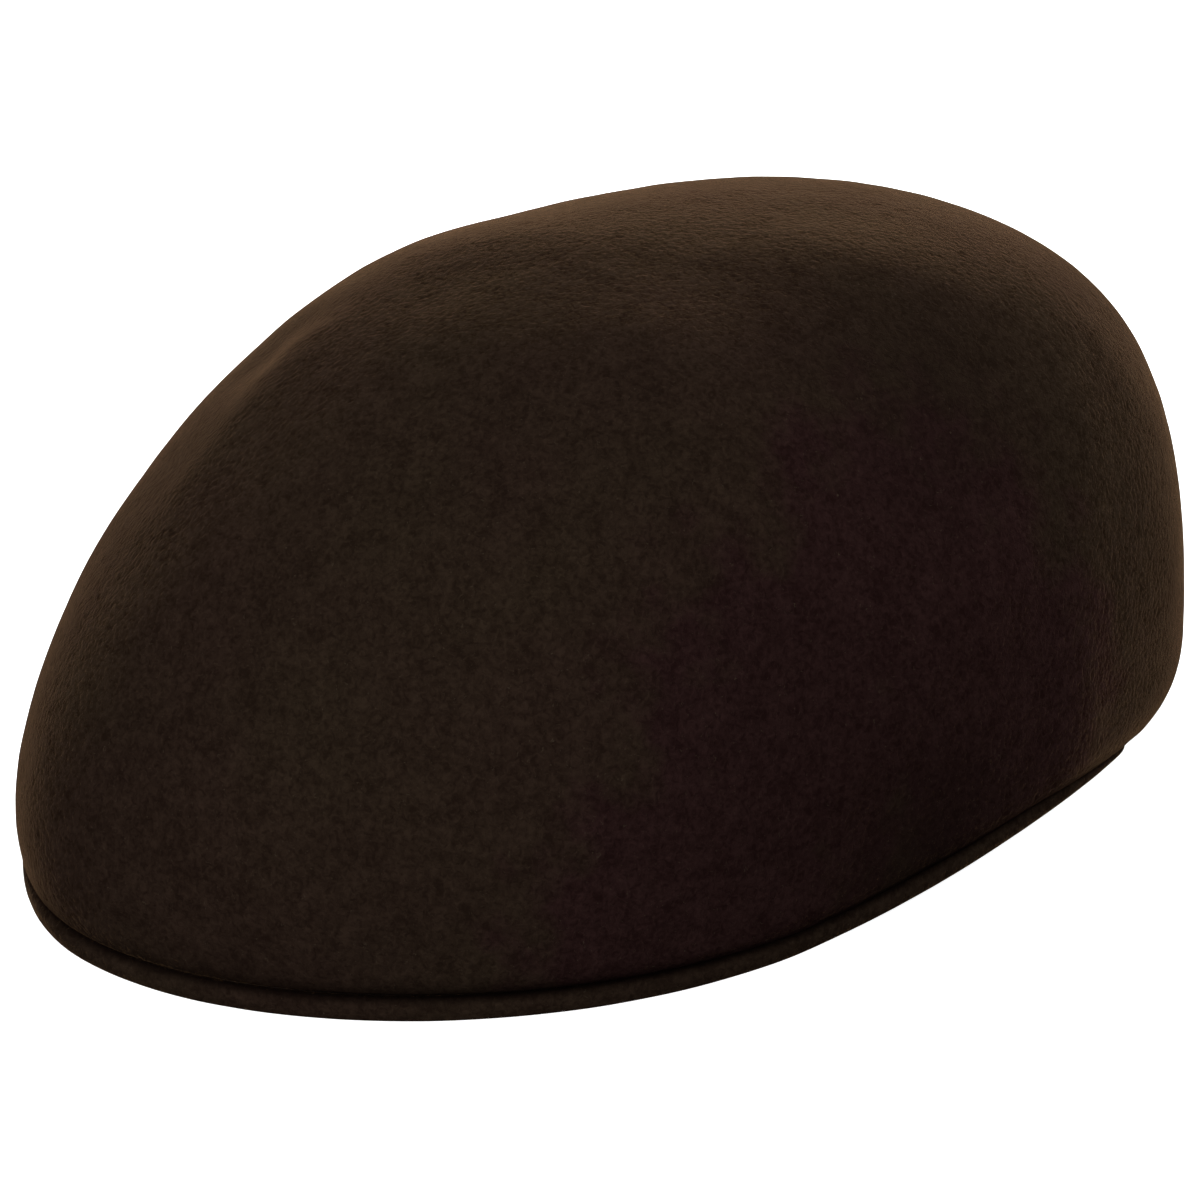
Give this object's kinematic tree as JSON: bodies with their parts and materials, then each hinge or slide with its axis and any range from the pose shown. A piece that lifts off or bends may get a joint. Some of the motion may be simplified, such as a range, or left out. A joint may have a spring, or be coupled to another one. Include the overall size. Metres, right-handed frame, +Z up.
{
  "type": "felt ascot cap",
  "caption": "Blocked felt cap with a sloping front over a short stiffened peak, a full back, leather sweatband and satin lining.",
  "frame": {"origin": "middle of the underside, on the plane the cap stands on", "axes": "+Z up, -Y the way the wearer faces, +X to the wearer's left"},
  "size_m": [0.198, 0.28, 0.12],
  "materials": {
    "crown_felt": "brushed wool felt, dark brown, fine nap",
    "facing_felt": "wool felt, dark brown",
    "board_plastic": "matt moulded board",
    "band_leather": "smooth dark brown leather, satin",
    "reed_plastic": "thin reed under cotton",
    "tape_leather": "smooth dark brown leather, satin",
    "bow_ribbon": "ribbed ribbon",
    "lining_satin": "satin, glossy",
    "tip_satin": "satin, glossy",
    "piping_satin": "satin-covered cord",
    "label_cloth": "woven tab, blank",
    "care_cloth": "soft printed-tag satin, blank"
  },
  "bodies": {
    "root": {"crown": "crown_felt", "brim_facing": "facing_felt", "peak_board": "board_plastic", "sweatband": "band_leather", "sweatband_reed": "reed_plastic", "sweatband_join_tape": "tape_leather", "sweatband_bow": "bow_ribbon", "lining_side": "lining_satin", "lining_tip": "tip_satin", "lining_piping": "piping_satin", "size_label": "label_cloth", "care_label": "care_cloth"}
  },
  "joints": []
}
